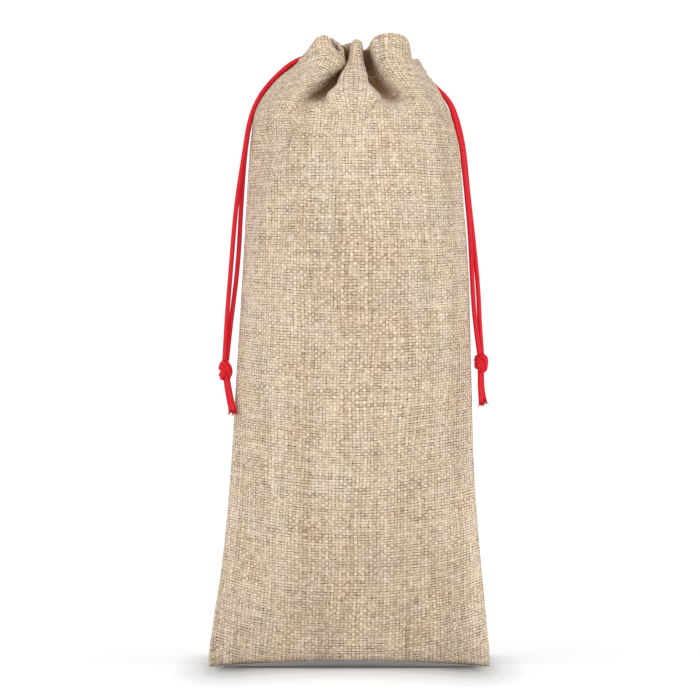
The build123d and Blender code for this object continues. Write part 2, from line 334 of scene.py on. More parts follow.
def braided_tube(line, radius, step=0.35 * MM, flat=1.0, round_ends=True):
    """Vertices, faces and uvs of a braided cord along a line, all in metres."""
    line, where = evenly(line, step)
    across, over = carried_frames(line)
    turn = np.linspace(0, 2 * math.pi, BRAID_AROUND, endpoint=False)
    phase = 2 * math.pi * where[:, None] / BRAID_PITCH
    around = BRAID_PLAITS / 2 * turn[None]
    plait = np.cos(around + phase) * np.cos(around - phase)
    size = radius * (1 - BRAID_DEPTH + BRAID_DEPTH * plait)
    if round_ends:
        end = 0.45 * radius
        near = np.minimum(where, where[-1] - where)
        ease = 1 - 0.5 * (1 - np.minimum(near / end, 1.0)) ** 2
        size = size * np.sqrt(ease)[:, None]
    ring = ring_round(across * flat, over, turn)
    points = (line[:, None, :] + ring * size[..., None]).reshape(-1, 3)
    n = len(line)
    faces = grid_faces(n, BRAID_AROUND, closed=True)
    uvs = np.stack(
        [np.tile(turn / (2 * math.pi), n), np.repeat(where / MM, BRAID_AROUND)], axis=1
    )
    caps = np.array([line[0], line[-1]])
    points = np.concatenate([points, caps])
    uvs = np.concatenate([uvs, [[0.5, 0.0], [0.5, where[-1] / MM]]])
    first, last = n * BRAID_AROUND, n * BRAID_AROUND + 1
    for c in range(BRAID_AROUND):
        d = (c + 1) % BRAID_AROUND
        faces.append((d, c, first))
        faces.append(((n - 1) * BRAID_AROUND + c, (n - 1) * BRAID_AROUND + d, last))
    return points, faces, uvs, line


def joined(parts):
    """Several (points, faces, uvs) in one."""
    points, faces, uvs = [], [], []
    count = 0
    for some_points, some_faces, some_uvs in parts:
        points.append(some_points)
        uvs.append(some_uvs)
        faces.extend(tuple(i + count for i in face) for face in some_faces)
        count += len(some_points)
    return np.concatenate(points), faces, np.concatenate(uvs)


# ---------------------------------------------------------------- materials
class Nodes:
    """Short ways to lay out a material's nodes."""

    def __init__(self, name):
        self.material = bpy.data.materials.new(name)
        self.material.use_nodes = True
        self.tree = self.material.node_tree
        self.shader = self.tree.nodes["Principled BSDF"]

    def put(self, socket, value):
        if isinstance(value, bpy.types.NodeSocket):
            self.tree.links.new(value, socket)
        else:
            socket.default_value = value

    def math(self, operation, a, b=0.0):
        node = self.tree.nodes.new("ShaderNodeMath")
        node.operation = operation
        for socket, value in zip(node.inputs, (a, b)):
            self.put(socket, value)
        return node.outputs[0]

    def add(self, a, b):
        return self.math("ADD", a, b)

    def sub(self, a, b):
        return self.math("SUBTRACT", a, b)

    def mul(self, a, b):
        return self.math("MULTIPLY", a, b)

    def clamped(self, value):
        """The value kept between 0 and 1."""
        return self.math("MINIMUM", self.math("MAXIMUM", value, 0.0), 1.0)

    def past(self, value, start):
        """How far the value is past the start, and 0 before it."""
        return self.math("MAXIMUM", self.sub(value, start), 0.0)

    def length(self, a, b):
        return self.math("SQRT", self.add(self.mul(a, a), self.mul(b, b)))

    def split(self, vector):
        node = self.tree.nodes.new("ShaderNodeSeparateXYZ")
        self.put(node.inputs[0], vector)
        return node.outputs

    def uv(self, name):
        node = self.tree.nodes.new("ShaderNodeUVMap")
        node.uv_map = name
        return self.split(node.outputs[0])[:2]

    def place(self):
        node = self.tree.nodes.new("ShaderNodeTexCoord")
        return node.outputs["Object"]

    def at(self, x, y, z=0.0):
        node = self.tree.nodes.new("ShaderNodeCombineXYZ")
        for socket, value in zip(node.inputs, (x, y, z)):
            self.put(socket, value)
        return node.outputs[0]

    def noise(self, vector, scale=1.0, detail=0.0):
        node = self.tree.nodes.new("ShaderNodeTexNoise")
        self.put(node.inputs["Vector"], vector)
        node.inputs["Scale"].default_value = scale
        node.inputs["Detail"].default_value = detail
        return node.outputs[0]

    def grain(self, a, a_scale, b, b_scale, seed=0.0, detail=0.0):
        """Noise over two coordinates, each at its own scale; the seed picks the pattern."""
        return self.noise(self.at(self.mul(a, a_scale), self.mul(b, b_scale), seed), 1.0, detail)

    def ramp(self, value, *stops):
        node = self.tree.nodes.new("ShaderNodeValToRGB")
        self.put(node.inputs[0], value)
        ramp = node.color_ramp
        while len(ramp.elements) < len(stops):
            ramp.elements.new(0.5)
        for element, (position, colour) in zip(ramp.elements, stops):
            element.position = position
            element.color = (*colour, 1.0)
        return node.outputs[0]

    def mix(self, factor, a, b, blend="MIX"):
        node = self.tree.nodes.new("ShaderNodeMix")
        node.data_type = "RGBA"
        node.blend_type = blend
        self.put(node.inputs[0], factor)
        self.put(node.inputs[6], a)
        self.put(node.inputs[7], b)
        return node.outputs[2]

    def blend(self, factor, a, b):
        node = self.tree.nodes.new("ShaderNodeMix")
        self.put(node.inputs[0], factor)
        self.put(node.inputs[2], a)
        self.put(node.inputs[3], b)
        return node.outputs[0]

    def bump(self, height, distance, strength=1.0):
        node = self.tree.nodes.new("ShaderNodeBump")
        node.inputs["Strength"].default_value = strength
        node.inputs["Distance"].default_value = distance
        self.put(node.inputs["Height"], height)
        self.put(self.shader.inputs["Normal"], node.outputs[0])

    def finish(self, colour, roughness, sheen=0.0, sheen_roughness=0.5, specular=0.5):
        self.put(self.shader.inputs["Base Color"], colour)
        self.put(self.shader.inputs["Roughness"], roughness)
        self.shader.inputs["Sheen Weight"].default_value = sheen
        self.shader.inputs["Sheen Roughness"].default_value = sheen_roughness
        self.shader.inputs["Specular IOR Level"].default_value = specular
        return self.material


YARN_TONES = (
    (0.30, (0.286, 0.199, 0.130)),
    (0.42, (0.435, 0.323, 0.228)),
    (0.50, (0.531, 0.411, 0.303)),
    (0.58, (0.608, 0.490, 0.375)),
    (0.70, (0.716, 0.611, 0.491)),
)
TAN = (1.020, 0.990, 0.950)
GREY = (0.985, 1.004, 1.000)
FOLD_SHADE_TINT = (0.46, 0.28, 0.15, 1.0)  # painted shade: darker, warmer colour deep in the folds, standing in for shade and for light that has met cloth several times
WANDER = 2.0  # how far the weave's rows and columns drift, in yarns
SWAY = 0.6  # how far one yarn wavers beside its neighbours, in yarns
THIN_YARN, SLUB = 0.70, 0.55  # a yarn's least width, and what a slub adds to it, in yarns
CROWN, WAVE = 0.66, 0.34  # the shares of a yarn's round back and of its rise and dive in its height
GAP_START, GAP_SLOPE = 0.30, 5.0  # where the gap beside a yarn begins, from the yarn's middle
LOOSE_START, LOOSE_SLOPE = 0.47, 6.0  # how loose two neighbours have to be to show a gap
WEFT_GAP_LEAST = 0.05
WARP_GAP_SHARE = 0.45
# how dark the painted shade in the gaps beside loose yarns is
GAP_SHADE = 0.80
PIT_LEVEL, PIT_SLOPE, PIT_SHADE = 0.60, 3.1, 0.97  # the painted shade in the pits between yarns
MIDDLE_TONE = 0.243
SLOW_TONE, QUICK_TONE = 0.30, 0.30  # each yarn's changes of tone along its length
PAIR_TONE = 0.06  # between one upright yarn and the next
WARP_TONE = 0.08  # between the upright and the crosswise yarns
RELIEF = 0.4 * MM


def woven_cloth(g, u, v, fold_shade_share=None):
    """A coarse plain weave of slubby yarns with painted shade in its pits and gaps; u and v are
    millimetres across and up.
    """
    across = g.add(g.math("DIVIDE", u, WARP_PITCH), g.mul(g.grain(u, 0.05, v, 0.02), WANDER))
    up = g.add(g.math("DIVIDE", v, WEFT_PITCH), g.mul(g.grain(u, 0.02, v, 0.05, 9.0), WANDER))
    warp = g.math("FLOOR", across)
    weft = g.math("FLOOR", up)
    in_warp = g.sub(g.math("FRACT", across), 0.5)
    in_weft = g.sub(g.math("FRACT", up), 0.5)
    parity = g.math("PINGPONG", g.add(warp, weft), 1.0)
    turn = g.sub(g.mul(parity, 2.0), 1.0)

    def yarn(index, along, offset, crossing_offset, rises, seed, least_gap):
        """One yarn's height, round across and rising and diving along, and the gap beside it."""
        width = g.add(THIN_YARN, g.mul(g.grain(index, 7.7, along, 0.16, seed), SLUB))
        sway = g.grain(index, 5.3, along, 0.12, seed + 4.0)
        shifted = g.add(offset, g.mul(g.sub(sway, 0.5), SWAY))
        inside = g.math("DIVIDE", g.mul(shifted, 2.0), width)
        crown = g.math("SQRT", g.math("MAXIMUM", g.sub(1.0, g.mul(inside, inside)), 0.0))
        wave = g.mul(g.math("COSINE", g.mul(crossing_offset, math.pi)), rises)
        height = g.add(g.mul(crown, CROWN), g.mul(wave, WAVE))
        border = g.mul(g.sub(g.math("ABSOLUTE", offset), GAP_START), GAP_SLOPE)
        edge = g.math("FLOOR", g.add(index, g.add(offset, 0.5)))
        loose = g.grain(edge, 4.9, along, 0.22, seed + 9.0)
        open_here = g.clamped(g.mul(g.sub(loose, LOOSE_START), LOOSE_SLOPE))
        openness = g.add(least_gap, g.mul(open_here, 1.0 - least_gap))
        return height, g.mul(g.clamped(border), openness)

    warp_height, warp_gap = yarn(warp, v, in_warp, in_weft, turn, 1.0, 0.0)
    against = g.mul(turn, -1.0)
    weft_height, weft_gap = yarn(weft, u, in_weft, in_warp, against, 31.0, WEFT_GAP_LEAST)
    height = g.math("MAXIMUM", warp_height, weft_height)
    warp_seen = g.math("GREATER_THAN", warp_height, weft_height)

    def tone(index, along, seed):
        slow = g.grain(index, 7.31, along, 0.03, seed, 1.5)
        quick = g.grain(index, 3.17, along, 0.3, seed + 5.0)
        return g.add(g.add(g.mul(slow, SLOW_TONE), g.mul(quick, QUICK_TONE)), MIDDLE_TONE)

    pairs = g.mul(g.sub(g.math("PINGPONG", warp, 1.0), 0.5), PAIR_TONE)
    seen_tone = g.blend(warp_seen, tone(weft, u, 21.0), g.add(tone(warp, v, 1.0), pairs))
    total = g.add(seen_tone, g.mul(g.sub(warp_seen, 0.5), WARP_TONE))
    fibre = g.blend(warp_seen, g.grain(u, 0.9, v, 7.0, 6.0, 1.0), g.grain(u, 7.0, v, 0.9, 2.0, 1.0))
    crossing = g.grain(warp, 5.7, weft, 9.3, 3.0)
    patch = g.grain(u, 0.03, v, 0.045, 4.0, 2.0)
    streak = g.grain(u, 0.07, v, 0.008, 8.0, 1.0)
    slub_line = g.grain(u, 0.03, v, 0.42, 12.0, 1.0)
    shares = (crossing, 0.10), (patch, 0.03), (fibre, 0.78), (streak, 0.29), (slub_line, 0.17)
    for part, share in shares:
        total = g.add(total, g.mul(g.sub(part, 0.5), share))
    hue = g.ramp(g.grain(u, 0.06, v, 0.05, 14.0, 1.0), (0.35, TAN), (0.65, GREY))
    colour = g.mix(1.0, g.ramp(total, *YARN_TONES), hue, "MULTIPLY")

    # painted shade: the colour darkened, and warmed, in the pits between yarns and in the gaps
    # beside loose yarns
    pit_shade = g.clamped(g.mul(g.sub(PIT_LEVEL, height), PIT_SLOPE))
    uneven = g.grain(u, 0.9, v, 1.1, 17.0)
    pit_shade = g.mul(pit_shade, g.clamped(g.mul(g.sub(uneven, 0.30), 4.5)))
    gap = g.math("MAXIMUM", g.mul(warp_gap, WARP_GAP_SHARE), weft_gap)
    shade = g.mul(g.sub(1.0, g.mul(pit_shade, PIT_SHADE)), g.sub(1.0, g.mul(gap, GAP_SHADE)))
    warm_shade = g.at(shade, g.math("POWER", shade, 1.15), g.math("POWER", shade, 1.3))
    colour = g.mix(1.0, colour, warm_shade, "MULTIPLY")
    # painted shade: the colour made darker and warmer deep in the neck's folds
    if fold_shade_share is not None:
        colour = g.mix(fold_shade_share, colour, g.mix(1.0, colour, FOLD_SHADE_TINT, "MULTIPLY"))
    relief = g.sub(g.add(height, g.mul(fibre, 0.2)), g.mul(gap, 0.4))
    g.bump(relief, RELIEF, 0.8)
    rough = g.sub(0.96, g.mul(height, 0.1))
    return g.finish(colour, rough, sheen=0.12, sheen_roughness=0.6, specular=0.15)


def cloth_material():
    g = Nodes("woven_cloth")
    u, v = g.uv("cloth")
    # the second coordinates carry the mask of the painted shade in the folds
    return woven_cloth(g, g.mul(u, 1 / MM), g.mul(v, 1 / MM), g.uv("fold_shade_mask")[0])


def seam_cloth_material():
    """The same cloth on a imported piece, which has no cloth coordinates: its place gives them."""
    g = Nodes("seam_cloth")
    across, _, up = g.split(g.place())
    return woven_cloth(g, g.mul(across, 1 / MM), g.mul(up, 1 / MM))


PLAITS_ROUND = 8.0
PLAIT_STEP = 1.15  # millimetres along the cord


def cord_material(name, base, dark):
    """Red braid: fine plaits across the cord, with painted shade between them, fibres along them,
    and a satin sheen.
    """
    g = Nodes(name)
    around, along = g.uv("cloth")
    turn = g.mul(around, PLAITS_ROUND)
    step = g.math("DIVIDE", along, PLAIT_STEP)
    first = g.math("SINE", g.mul(g.math("FRACT", g.add(turn, step)), math.pi))
    second = g.math("SINE", g.mul(g.math("FRACT", g.sub(turn, step)), math.pi))
    plait = g.mul(first, second)
    fibre = g.grain(around, 60.0, along, 1.2, 0.0, 2.0)
    mottled = g.grain(around, 3.0, along, 0.35, 2.0, 2.0)
    # partly painted shade: the colour is darker in the grooves between plaits; fibres and mottling
    # are the dye's own random tone
    tone = g.add(g.mul(plait, 0.45), g.mul(fibre, 0.3))
    tone = g.add(tone, g.mul(mottled, 0.35))
    colour = g.ramp(tone, (0.2, dark), (0.75, base))
    g.bump(g.add(plait, g.mul(fibre, 0.3)), 0.12 * MM, 0.6)
    rough = g.sub(0.62, g.mul(plait, 0.12))
    return g.finish(colour, rough, sheen=0.02, sheen_roughness=0.4, specular=0.22)


def thread_material():
    g = Nodes("thread")
    twist = g.noise(g.place(), 2600.0, 2.0)
    colour = g.ramp(twist, (0.3, (0.5, 0.385, 0.27)), (0.7, (0.72, 0.6, 0.46)))
    g.bump(twist, 0.08 * MM, 0.6)
    return g.finish(colour, g.add(0.7, g.mul(twist, 0.2)), sheen=0.1)


# The floor's painted shadow, in metres: its edges at the sides, in front and behind, and how far
# from each of them it fades out
FOOT_HALF_WIDTH, FOOT_FRONT, FOOT_BACK = 0.066, -0.012, 0.065
FADE_SIDE, FADE_FRONT, FADE_BACK = 0.028, 0.15, 0.05
ARCH_HALF_WIDTH = 0.058  # under the arch of the bottom's front edge the painted shadow is lighter
ARCH_BACK = 0.012
ARCH_LIGHT = 0.36


def floor_material():
    """White sweep, with a painted shadow in its colour around the bag's foot, where the light of a
    studio hardly reaches.
    """
    g = Nodes("floor")
    x, y, _ = g.split(g.place())
    wide = g.math("DIVIDE", g.past(g.math("ABSOLUTE", x), FOOT_HALF_WIDTH), FADE_SIDE)
    before = g.math("DIVIDE", g.math("MAXIMUM", g.sub(FOOT_FRONT, y), 0.0), FADE_FRONT)
    behind = g.math("DIVIDE", g.past(y, FOOT_BACK), FADE_BACK)
    away = g.length(wide, g.add(before, behind))
    arch = g.sub(1.0, g.math("POWER", g.mul(x, 1 / ARCH_HALF_WIDTH), 2.0))
    arch = g.mul(g.math("MAXIMUM", arch, 0.0), g.math("LESS_THAN", y, ARCH_BACK))
    away = g.add(away, g.mul(arch, ARCH_LIGHT))
    # the painted shadow's greys, from the foot outwards
    shadow_greys = (0.0, 0.25), (0.22, 0.54), (0.55, 0.76), (1.0, 0.90)
    colour = g.ramp(away, *((place, (grey,) * 3) for place, grey in shadow_greys))
    far = g.ramp(g.length(x, y), (0.25, (0.0,) * 3), (0.9, (1.0,) * 3))
    return g.finish(g.mix(far, colour, (0.96, 0.96, 0.96, 1.0)), 0.9, specular=0.1)


# ---------------------------------------------------------------- the cloth's shape
def lens(left, right, half_depth, share, side):
    """Points at equal shares of an arc from the left seam round to the right one."""
    half = (right - left) / 2
    radius = (half**2 + half_depth**2) / (2 * half_depth)
    angle = (2 * share - 1) * math.asin(min(1.0, half / radius))
    x = (left + right) / 2 + radius * np.sin(angle)
    y = side * (radius * np.cos(angle) - (radius - half_depth))
    return x, y


# Under the base: the share of the way out from the seam, the height, and the share of the lift
BASE_STATIONS = ((0.0, 0.15, 0.66), (0.5, 0.2, 0.82), (0.95, 0.35, 1.0), (1.0, 2.0, 1.03))


def panel_stations(side, folds):
    """The designed sections of one cloth from the bottom seam up: (sections, columns, xyz)."""
    share = np.linspace(0, 1, PANEL_COLUMNS + 1)
    stations = []
    x, y = lens(-BASE_HALF_WIDTH, BASE_HALF_WIDTH, BASE_HALF_DEPTH, share, side)
    lift = BASE_LIFT * np.abs(y) / BASE_HALF_DEPTH
    for out, up, raised in BASE_STATIONS:
        stations.append(np.stack([x, y * out, up + lift * raised], axis=-1))
    for height, left, right, half_depth in BODY:
        x, y = lens(left, right, half_depth, share, side)
        stations.append(np.stack([x, y, np.full_like(x, height)], axis=-1))
    plan = np.array([[x for place in fold for x in place] for fold in folds])
    steps = np.linalg.norm(np.diff(plan[:, 6:8], axis=0), axis=1)
    where = np.concatenate([[0], np.cumsum(steps)]) / steps.sum()
    at = through(plan, where, share)
    cord_z = np.minimum(CORD_Z, at[:, 10] - CORD_BELOW_TOP)
    for level, height in enumerate((SHOULDER_Z, POCKET_Z, FOLD_Z, cord_z)):
        section = [at[:, 2 * level], at[:, 2 * level + 1], np.full_like(share, height)]
        stations.append(np.stack(section, axis=-1))
    stations.append(np.stack([at[:, 8], at[:, 9], at[:, 10] - HEM_INSET / 2], axis=-1))
    return np.array(stations)


def designed_panel(side, folds):
    """The designed shape in rows: level up to the shoulder, then equally spaced to the top."""
    stations = panel_stations(side, folds)
    panel = np.empty((ROWS + 1, stations.shape[1], 3))
    level_rows = int(round(LEVEL_Z / (PANEL_HEIGHT - SLACK) * ROWS))
    for c in range(stations.shape[1]):
        column = stations[:, c]
        steps = np.maximum(np.linalg.norm(np.diff(column, axis=0), axis=1), 1e-4)
        along = np.concatenate([[0], np.cumsum(steps)])
        fine = through(column, along, np.linspace(0, along[-1], 6 * ROWS))
        gone = np.concatenate([[0], np.cumsum(np.linalg.norm(np.diff(fine, axis=0), axis=1))])
        shoulder = np.interp(LEVEL_Z, fine[:, 2], gone)
        below = np.linspace(0, shoulder, level_rows + 1)
        above = np.linspace(shoulder, gone[-1], ROWS + 1 - level_rows)
        wanted = np.concatenate([below, above[1:]])
        for axis in range(3):
            panel[:, c, axis] = np.interp(wanted, gone, fine[:, axis])
    return panel


def whole_tube(front, back):
    """Front columns left to right, then the back's right to left, without doubled seams."""
    return np.concatenate([front, back[:, -2:0:-1]], axis=1)


def flat_tube():
    """The same cloth laid flat: the shape whose lengths the simulation keeps."""
    u = np.linspace(0, PANEL_WIDTH, PANEL_COLUMNS + 1) - PANEL_WIDTH / 2
    v = np.linspace(0, PANEL_HEIGHT, ROWS + 1)
    panels = []
    for gap in (-1.0, 1.0):
        x, z = np.meshgrid(u, v)
        x = x * (1 - EASED * smoothstep(EASED_FROM, EASED_TO, z))
        panels.append(np.stack([x, np.full_like(x, gap), z], axis=-1))
    return whole_tube(*panels)


def relaxed(shape):
    """Cloth simulation from the designed shape towards the flat cloth's lengths."""
    rows, columns = shape.shape[:2]
    scene = bpy.context.scene
    faces = grid_faces(rows, columns, closed=True)
    obj = add_mesh("relaxing", shape.reshape(-1, 3) * MM * SIM_SCALE, faces)
    obj.shape_key_add(name="Basis")
    flat = obj.shape_key_add(name="flat")
    flat.data.foreach_set("co", flat_tube().reshape(-1) * MM * SIM_SCALE)

    height = shape[..., 2]
    hold = NECK_HOLD * smoothstep(*NECK_HELD, height)
    for seam in (0, PANEL_COLUMNS):
        hold[:, seam] = np.maximum(hold[:, seam], SEAM_HOLD)
    hold = np.maximum(hold, BASE_HOLD * (1 - smoothstep(*BASE_HELD, height)))
    hold[0] = 1.0
    hold[height > FIXED_Z] = 1.0
    group = obj.vertex_groups.new(name="held")
    for i, weight in enumerate(hold.reshape(-1)):
        if weight > 0.01:
            group.add([i], float(weight), "REPLACE")

    modifier = obj.modifiers.new("cloth", "CLOTH")
    cloth = modifier.settings
    cloth.quality = 5
    cloth.mass = 0.3
    cloth.tension_stiffness = 25
    cloth.compression_stiffness = 25
    cloth.shear_stiffness = 8
    cloth.bending_stiffness = 12.0
    cloth.tension_damping = 15
    cloth.compression_damping = 15
    cloth.shear_damping = 15
    cloth.bending_damping = 1.0
    cloth.air_damping = 3
    cloth.vertex_group_mass = "held"
    cloth.pin_stiffness = 3.0
    cloth.rest_shape_key = flat
    cloth.use_pressure = True
    cloth.uniform_pressure_force = 1.0
    cloth.effector_weights.gravity = 0.0
    touching = modifier.collision_settings
    touching.use_collision = False
    touching.use_self_collision = True
    touching.self_distance_min = 0.009
    touching.collision_quality = 2
    modifier.point_cache.frame_start = 1
    modifier.point_cache.frame_end = SIM_FRAMES
    for step in range(1, SIM_FRAMES + 1):
        scene.frame_set(step)
    done = obj.evaluated_get(bpy.context.evaluated_depsgraph_get()).to_mesh()
    found = np.empty(rows * columns * 3)
    done.vertices.foreach_get("co", found)
    bpy.data.objects.remove(obj)
    scene.frame_set(1)
    return found.reshape(rows, columns, 3) / (MM * SIM_SCALE)


def inward(ring):
    """Level directions into the bag from each point of a closed ring of points."""
    along = np.roll(ring, -2, axis=0) - np.roll(ring, 2, axis=0)
    into = np.stack([-along[:, 1], along[:, 0], np.zeros(len(ring))], axis=1)
    for _ in range(2):
        into = into / np.maximum(np.linalg.norm(into, axis=1), 1e-6)[:, None]
        into = np.roll(into, 1, axis=0) + 2 * into + np.roll(into, -1, axis=0)
    return into / np.maximum(np.linalg.norm(into, axis=1), 1e-6)[:, None]


def with_hem(shape):
    """Adds the rows that roll over the top edge and go down inside, and the height of each row."""
    rows = list(shape)
    heights = list(np.linspace(0, PANEL_HEIGHT, len(shape)))
    top = shape[-1]
    into = inward(top)
    half = HEM_INSET / 2
    up = np.array([0.0, 0.0, 1.0])
    for angle in np.linspace(0, math.pi, ROLL_STEPS + 1)[1:]:
        reach = half * (1 - math.cos(angle))
        rows.append(top + into * reach + up * half * math.sin(angle))
        heights.append(PANEL_HEIGHT + half * angle)
    row_gap = PANEL_HEIGHT / ROWS
    for step in range(1, HEM_STEPS):
        behind = len(shape) - 1 - step
        rows.append(shape[behind] + inward(shape[behind]) * HEM_INSET)
        heights.append(heights[-1] + row_gap)
    return np.array(rows), np.array(heights)


# how deep within the row's outline, in millimetres, the painted shade in the folds begins and is
# full
FOLD_SHADE_FROM, FOLD_SHADE_TO = 3.5, 12.5
OUTLINE_DIRECTIONS = 72


def fold_shade_mask(shape):
    """From 0 to 1, how deep each point lies within the outline around its own row: the mask of the
    painted shade in the folds.
    """
    turn = np.linspace(0, 2 * math.pi, OUTLINE_DIRECTIONS, endpoint=False)
    reach = shape[..., :2] @ np.stack([np.cos(turn), np.sin(turn)])
    depth = (reach.max(axis=1, keepdims=True) - reach).min(axis=2)
    return smoothstep(FOLD_SHADE_FROM, FOLD_SHADE_TO, depth)


SEAM_GROOVE = 0.5  # how far each cloth's edges are drawn in at the side seams
SLIT_HALF_HEIGHT, SLIT_HALF_WIDTH, SLIT_COLUMNS = 5.0, 3.2, 4
# Each slit: its seam's column, its height and its place from front to back, and the way inwards
SLITS = ((0, LEFT_EXIT_Z, 0.0, 1), (PANEL_COLUMNS, RIGHT_EXIT_Z - 0.6, 5.0, -1))


def panel_object(name, grid, heights, side, material):
    """One cloth as an object: its half of the grid, seam grooves and the cords' slits."""
    around = np.arange(PANEL_COLUMNS + 1)
    if side > 0:
        around = -around
    panel = grid[:, around].copy()
    deep = fold_shade_mask(grid)[:, around]
    panel[:, 0, 0] += SEAM_GROOVE
    panel[:, -1, 0] -= SEAM_GROOVE
    for seam, exit_z, exit_y, step in SLITS:
        for off in range(SLIT_COLUMNS):
            c = seam + step * off
            share = (1 - off / SLIT_COLUMNS) ** 2
            open_here = np.clip(1 - ((panel[:, c, 2] - exit_z) / SLIT_HALF_HEIGHT) ** 2, 0, 1)
            edge = exit_y + side * SLIT_HALF_WIDTH
            panel[:, c, 1] += share * open_here * (edge - panel[:, c, 1])
    rows, columns = panel.shape[:2]
    u = np.linspace(0, PANEL_WIDTH, columns) * MM
    if side > 0:
        u = u + PANEL_WIDTH * MM
    uvs = np.stack([np.tile(u, rows), np.repeat(heights * MM, columns)], axis=1)
    faces = grid_faces(rows, columns)
    if side > 0:
        faces = [face[::-1] for face in faces]
    obj = add_mesh(name, panel.reshape(-1, 3) * MM, faces, material, uvs)
    corners = np.empty(len(obj.data.loops), int)
    obj.data.loops.foreach_get("vertex_index", corners)
    # the second coordinates: the mask of the painted shade in the folds
    depths = np.stack([deep.reshape(-1), np.zeros(deep.size)], axis=1)
    obj.data.uv_layers.new(name="fold_shade_mask").data.foreach_set("uv", depths[corners].reshape(-1))
    finer = obj.modifiers.new("finer", "SUBSURF")
    finer.levels = 1
    finer.render_levels = 1
    thick = obj.modifiers.new("thick", "SOLIDIFY")
    thick.thickness = CLOTH_THICK * MM
    thick.offset = -1.0
    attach(obj, "bag")
    return obj


PRESSED_CORD = 1.9  # across, where the gathers press the cord flat in its channel
PRESSED_FLAT = 0.45
LOOP_ENDS = (-22.0, 34.0)  # how far the loops reach towards the side seams
LEFT_LOOP_Z, RIGHT_LOOP_Z = 327.0, 323.6
LOOP_BELOW_TOP = 2.2  # the least, where the gathered edge dips


def tunnel_cord(name, grid, height, strands, material, node):
    """A drawcord's loop in the casing, lying flattened between its two layers of cloth."""
    ring = []
    columns = grid.shape[1]
    into_rows = [inward(grid[r]) for r in range(ROWS + 1)]
    for c in range(columns):
        column = grid[: ROWS + 1, c]
        level = min(height, column[-1, 2] - LOOP_BELOW_TOP)
        r = int(np.argmin(np.abs(column[:, 2] - level)))
        ring.append([*(column[r] + into_rows[r][c] * HEM_INSET * 0.5)[:2], level])
    ring = np.array(ring)
    start = 0 if name.startswith("left") else PANEL_COLUMNS
    ring = np.roll(ring, -start, axis=0)[2:-1]
    ring[:, 0] = np.clip(ring[:, 0], *LOOP_ENDS)
    first, last = (STRANDS[strand][:1] for strand in strands)
    line = np.concatenate([first, ring, last]) * MM
    tube = braided_tube(line, PRESSED_CORD / 2 * MM, step=0.5 * MM, flat=PRESSED_FLAT)
    add_piece(name, tube[:3], material, "bag", node)


STITCH = 2.6
STITCH_GAP = 0.9
STITCH_SUNK = 0.12
THREAD = 0.42


def stitches(name, panel_grid, material, node):
    """A row of thread stitches that closes the casing, following the cloth."""
    row = panel_grid[int(round((PANEL_HEIGHT - HEM_DEPTH) / PANEL_HEIGHT * ROWS))]
    path = row + inward(row) * STITCH_SUNK
    front = name.startswith("front")
    span = slice(0, PANEL_COLUMNS + 1) if front else slice(PANEL_COLUMNS, 2 * PANEL_COLUMNS)
    line, where = evenly(path[span] * MM, 0.2 * MM)
    parts = []
    start = 1.0 * MM
    while start + STITCH * MM < where[-1]:
        inside = (where >= start) & (where <= start + STITCH * MM)
        parts.append(braided_tube(line[inside], THREAD / 2 * MM, step=0.3 * MM)[:3])
        start += (STITCH + STITCH_GAP) * MM
    add_piece(name, joined(parts), material, "bag", node)


SEAM_HALF = 0.9  # half of the pressed edges' thickness
SEAM_FOOT, SEAM_TOP = 1.2, 9.0  # above the seam line


def seam_strip(seam, material, node):
    """The bottom seam's pressed edges, standing inside the bag along its seam line."""
    half, foot, top = SEAM_HALF, SEAM_FOOT, SEAM_TOP
    corners = [(0.0, -half, foot), (0.0, half, foot), (0.0, half, top), (0.0, -half, top)]
    strip = seam[3:-3, None, :] + corners
    rows = len(strip)
    ends = [(3, 2, 1, 0), tuple(4 * rows - 4 + i for i in range(4))]
    shape = strip.reshape(-1, 3) * MM, grid_faces(rows, 4, closed=True) + ends, None
    add_piece("bottom_seam_edges", shape, material, "bag", node)


def make_bag(cloth, red, thread, seam_look):
    front = designed_panel(-1, FRONT_FOLDS)
    back = designed_panel(1, BACK_FOLDS)
    shape = whole_tube(front, back)
    shape = relaxed(shape)
    grid, heights = with_hem(shape)
    front_cloth = panel_object("front_cloth", grid, heights, -1, cloth)
    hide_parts("front_panel", "front_casing")
    back_cloth = panel_object("back_cloth", grid, heights, 1, cloth)
    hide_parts("back_panel", "back_casing")
    for side, height in (("left", LEFT_LOOP_Z), ("right", RIGHT_LOOP_Z)):
        strands = (side + "_outer_strand", side + "_inner_strand")
        tunnel_cord(side + "_tunnel_cord", grid, height, strands, red, side + "_casing_cord")
    seam_strip(shape[0, : PANEL_COLUMNS + 1], seam_look, "bottom_seam_allowance")
    stitches("front_stitches", shape, thread, "front_casing_stitching")
    stitches("back_stitches", shape, thread, "back_casing_stitching")


# ---------------------------------------------------------------- the cords
def make_strand(name, route, material):
    line = spline_line(route)
    *shape, path = braided_tube(line, CORD_LOOK / 2 * MM, round_ends=False)
    obj = add_piece(name + "_cord", shape, material, "bag", name)
    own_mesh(obj)
    return obj, path


FIBRES = 34
FIBRE_POINTS = 7
FIBRE_SIDES = 5


